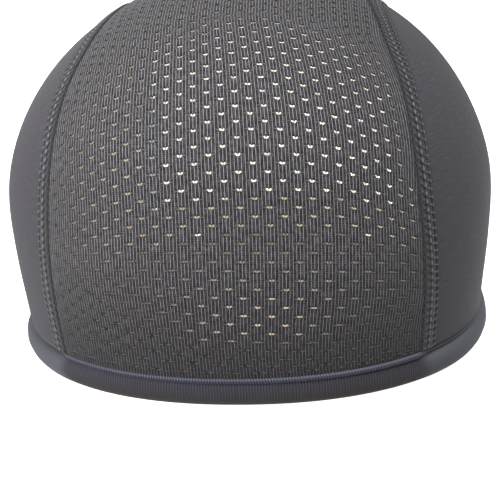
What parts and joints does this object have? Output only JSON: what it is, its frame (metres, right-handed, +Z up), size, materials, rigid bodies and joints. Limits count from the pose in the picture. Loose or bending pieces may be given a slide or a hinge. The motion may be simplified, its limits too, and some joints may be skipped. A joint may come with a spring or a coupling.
{
  "type": "helmet liner cap",
  "caption": "Close skull cap of stretch knit with a perforated crown panel, smooth side panels, flat seams and a ribbed hem band.",
  "frame": {"origin": "on the floor under the middle of the cap's bounding box", "axes": "+Z up through the crown, -Y towards the end over the forehead, +X towards the cap's right side as seen from the near end"},
  "size_m": [0.1578, 0.1899, 0.118],
  "materials": {
    "perforated_knit": "matte ribbed knit with rows of eyelets",
    "smooth_knit": "smooth stretch jersey with a soft sheen",
    "seam_thread": "flat overlock stitching",
    "ribbed_knit": "folded fine rib"
  },
  "bodies": {
    "root": {"crown_panel": "perforated_knit", "side_panel_right": "smooth_knit", "side_panel_left": "smooth_knit", "seam_right": "seam_thread", "seam_left": "seam_thread", "hem_piping": "seam_thread", "hem_band": "ribbed_knit"}
  },
  "joints": []
}
